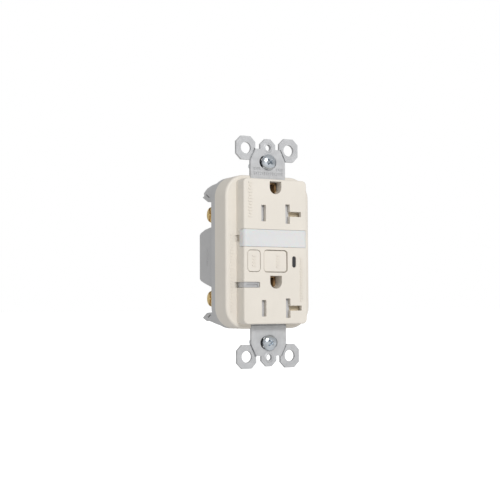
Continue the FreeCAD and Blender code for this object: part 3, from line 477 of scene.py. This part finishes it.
def add_fasteners():
    """The two mounting screws, the four terminal screws and the ground screw."""
    for place in ("upper", "lower"):
        pan_screw(f"mounting_screw_{place}", f"{place}_mounting_screw")
    for end in ("load", "line"):
        terminal_screw(f"{end}_hot_screw", f"{end}_hot_screw_body", side=-1, slot="brass_screw")
        terminal_screw(f"{end}_neutral_screw", f"{end}_neutral_screw_body", side=1, slot="nickel")
    ground_screw("ground_screw", "ground_screw_body")


# ----------------------------------------------------------- winding and springs

WINDING_WIRE = 0.5 * MM
WINDING_BORE_R = 2.62 * MM
WINDING_GROOVE = 0.22 * MM
WIRE_SIDES = 8
STEPS_PER_TURN = 20
ROUND_ANGLE = 60.0


def coil_winding(node, body):
    """The enamelled winding, turn beside turn."""
    low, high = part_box(node)
    cy, cz = (low[1] + high[1]) / 2, (low[2] + high[2]) / 2
    outer, length = (high[2] - low[2]) / 2, high[0] - low[0]
    shoulder = outer - WINDING_WIRE

    def place(x, y, height):
        return (low[0] + height, cy + x, cz + y)

    rows = [(0.02 * MM, WINDING_BORE_R), (0.01 * MM, shoulder)]
    rows += thread_rows(outer, WINDING_GROOVE, WINDING_WIRE, 0.05 * MM, length - 0.05 * MM)
    rows += [(length - 0.01 * MM, shoulder), (length - 0.02 * MM, WINDING_BORE_R)]
    piece = add_piece(node + "_wound", *turned(rows, place), "copper", body, node)
    smooth_by_angle(piece.data, ROUND_ANGLE)


def helix(centre, along, length, radius, wire, turns):
    """A round wire wound about an axis, with both ends closed; wire is its own radius."""
    side = Vector((0, 0, 1))
    across = along.cross(side)
    steps = round(turns * STEPS_PER_TURN)
    vertices = []
    for step in range(steps + 1):
        angle = 2 * math.pi * turns * step / steps
        spoke = side * math.cos(angle) + across * math.sin(angle)
        middle = centre + along * (length * (step / steps - 0.5)) + spoke * radius
        for i in range(WIRE_SIDES):
            turn = 2 * math.pi * i / WIRE_SIDES
            vertices.append(middle + spoke * (wire * math.cos(turn)) + along * (wire * math.sin(turn)))
    last = steps * WIRE_SIDES
    faces = [tuple(range(WIRE_SIDES)), tuple(range(last, last + WIRE_SIDES))]
    for row in range(0, last, WIRE_SIDES):
        for i in range(WIRE_SIDES):
            after, above = (i + 1) % WIRE_SIDES, row + WIRE_SIDES
            faces.append((row + i, row + after, above + after, above + i))
    return vertices, faces


def coil_spring(node, body, wire, turns, along):
    """A wire spring between the housing and the body at its far end, wound in the box of the CAD node
    that it replaces.
    """
    low, high = (Vector(corner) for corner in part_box(node))
    centre, sizes = (low + high) / 2, high - low
    along = Vector(along)
    reach = abs(sizes.dot(along))
    vertices, faces = helix(centre, along, reach - 2 * wire, sizes.z / 2 - wire, wire, turns)
    piece = closed_piece(node + "_wire", vertices, faces, "spring_steel")
    smooth_by_angle(piece.data, ROUND_ANGLE)
    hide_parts(node)
    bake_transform(piece)


def add_coils():
    """The winding of the solenoid and the four springs."""
    forward, sideways = (0, -1, 0), (1, 0, 0)
    coil_winding("solenoid_coil", "outlet")
    coil_spring("reset_spring", "reset_key", wire=0.22 * MM, turns=3.0, along=forward)
    coil_spring("plunger_spring", "plunger", wire=0.16 * MM, turns=5.0, along=sideways)
    for place in ("upper", "lower"):
        node, body = f"shutter_spring_{place}", f"{place}_shutter"
        coil_spring(node, body, wire=0.16 * MM, turns=5.5, along=sideways)


# ---------------------------------------------------------------- view and light

# Places and sizes are in metres, and the camera's lens and sensor in millimetres.
CAMERA_PLACE = (-0.24672, -0.42790, -0.02536)
CAMERA_RIGHT = (0.87489, -0.48430, -0.00479)
CAMERA_UP = (-0.02165, -0.04899, 0.99856)
LENS_MM = 77.17
SENSOR_MM = 36.0
NEAREST_SEEN = 0.01
KEY_PLACE = (-0.15, -1.24, 0.52)
KEY_SIZE = 0.45
KEY_POWER = 8.4
AMBIENT = 0.52
FLOOR_GLOW = 0.7
FLOOR_HALF = 6.0
FLOOR_GAP = 0.5 * MM
WHITE = (1.0, 1.0, 1.0)


def add_camera():
    """The camera sits to the left of the outlet and slightly below its middle."""
    data = bpy.data.cameras.new("camera")
    data.sensor_width = SENSOR_MM
    data.lens = LENS_MM
    data.clip_start = NEAREST_SEEN
    camera = linked("camera", data)
    right, up = Vector(CAMERA_RIGHT), Vector(CAMERA_UP)
    back = right.cross(up).normalized()
    right = up.cross(back).normalized()
    stance = Matrix((right, up, back)).transposed().to_4x4()
    stance.translation = CAMERA_PLACE
    camera.matrix_world = stance
    bpy.context.scene.camera = camera


def camera_only(tree, others, seen):
    """One strength for what the view shows directly, another for the light it gives."""
    path = tree.nodes.new("ShaderNodeLightPath")
    return spread(tree, path.outputs["Is Camera Ray"], others, seen, 0.0, 1.0)


def add_floor():
    """A wide white floor, just under the lower end of the strap, that glows only in the view."""
    bottom = cad_box[0][2] - FLOOR_GAP
    corners = [(x * FLOOR_HALF, y * FLOOR_HALF, bottom) for x, y in ((-1, -1), (1, -1), (1, 1), (-1, 1))]
    mesh = bpy.data.meshes.new("floor")
    mesh.from_pydata(corners, [], [(0, 1, 2, 3)])
    floor = linked("floor", mesh)
    material, tree, shader = new_material("floor")
    set_shader(shader, base_color=(0.97, 0.97, 0.97), roughness=0.9, emission_color=WHITE)
    tree.links.new(camera_only(tree, 0.0, FLOOR_GLOW), shader.inputs["Emission Strength"])
    mesh.materials.append(material)


def add_key_light():
    """One round light in front of the outlet, above it and a little to its left."""
    data = bpy.data.lights.new("key", "AREA")
    data.shape = "DISK"
    data.size = KEY_SIZE
    data.energy = KEY_POWER
    light = linked("key", data)
    light.location = KEY_PLACE
    light.rotation_euler = (-Vector(KEY_PLACE)).to_track_quat("-Z", "Y").to_euler()


def add_world():
    """A white backdrop that lights the outlet with about half of the strength it shows."""
    world = bpy.data.worlds.new("studio")
    world.use_nodes = True
    tree = world.node_tree
    background = tree.nodes["Background"]
    background.inputs["Color"].default_value = (*WHITE, 1.0)
    tree.links.new(camera_only(tree, AMBIENT, 1.0), background.inputs["Strength"])
    bpy.context.scene.world = world
    bpy.context.scene.view_settings.view_transform = "Standard"


add_camera()
add_world()
add_floor()
add_key_light()
paint_cad_nodes()
add_fasteners()
add_coils()
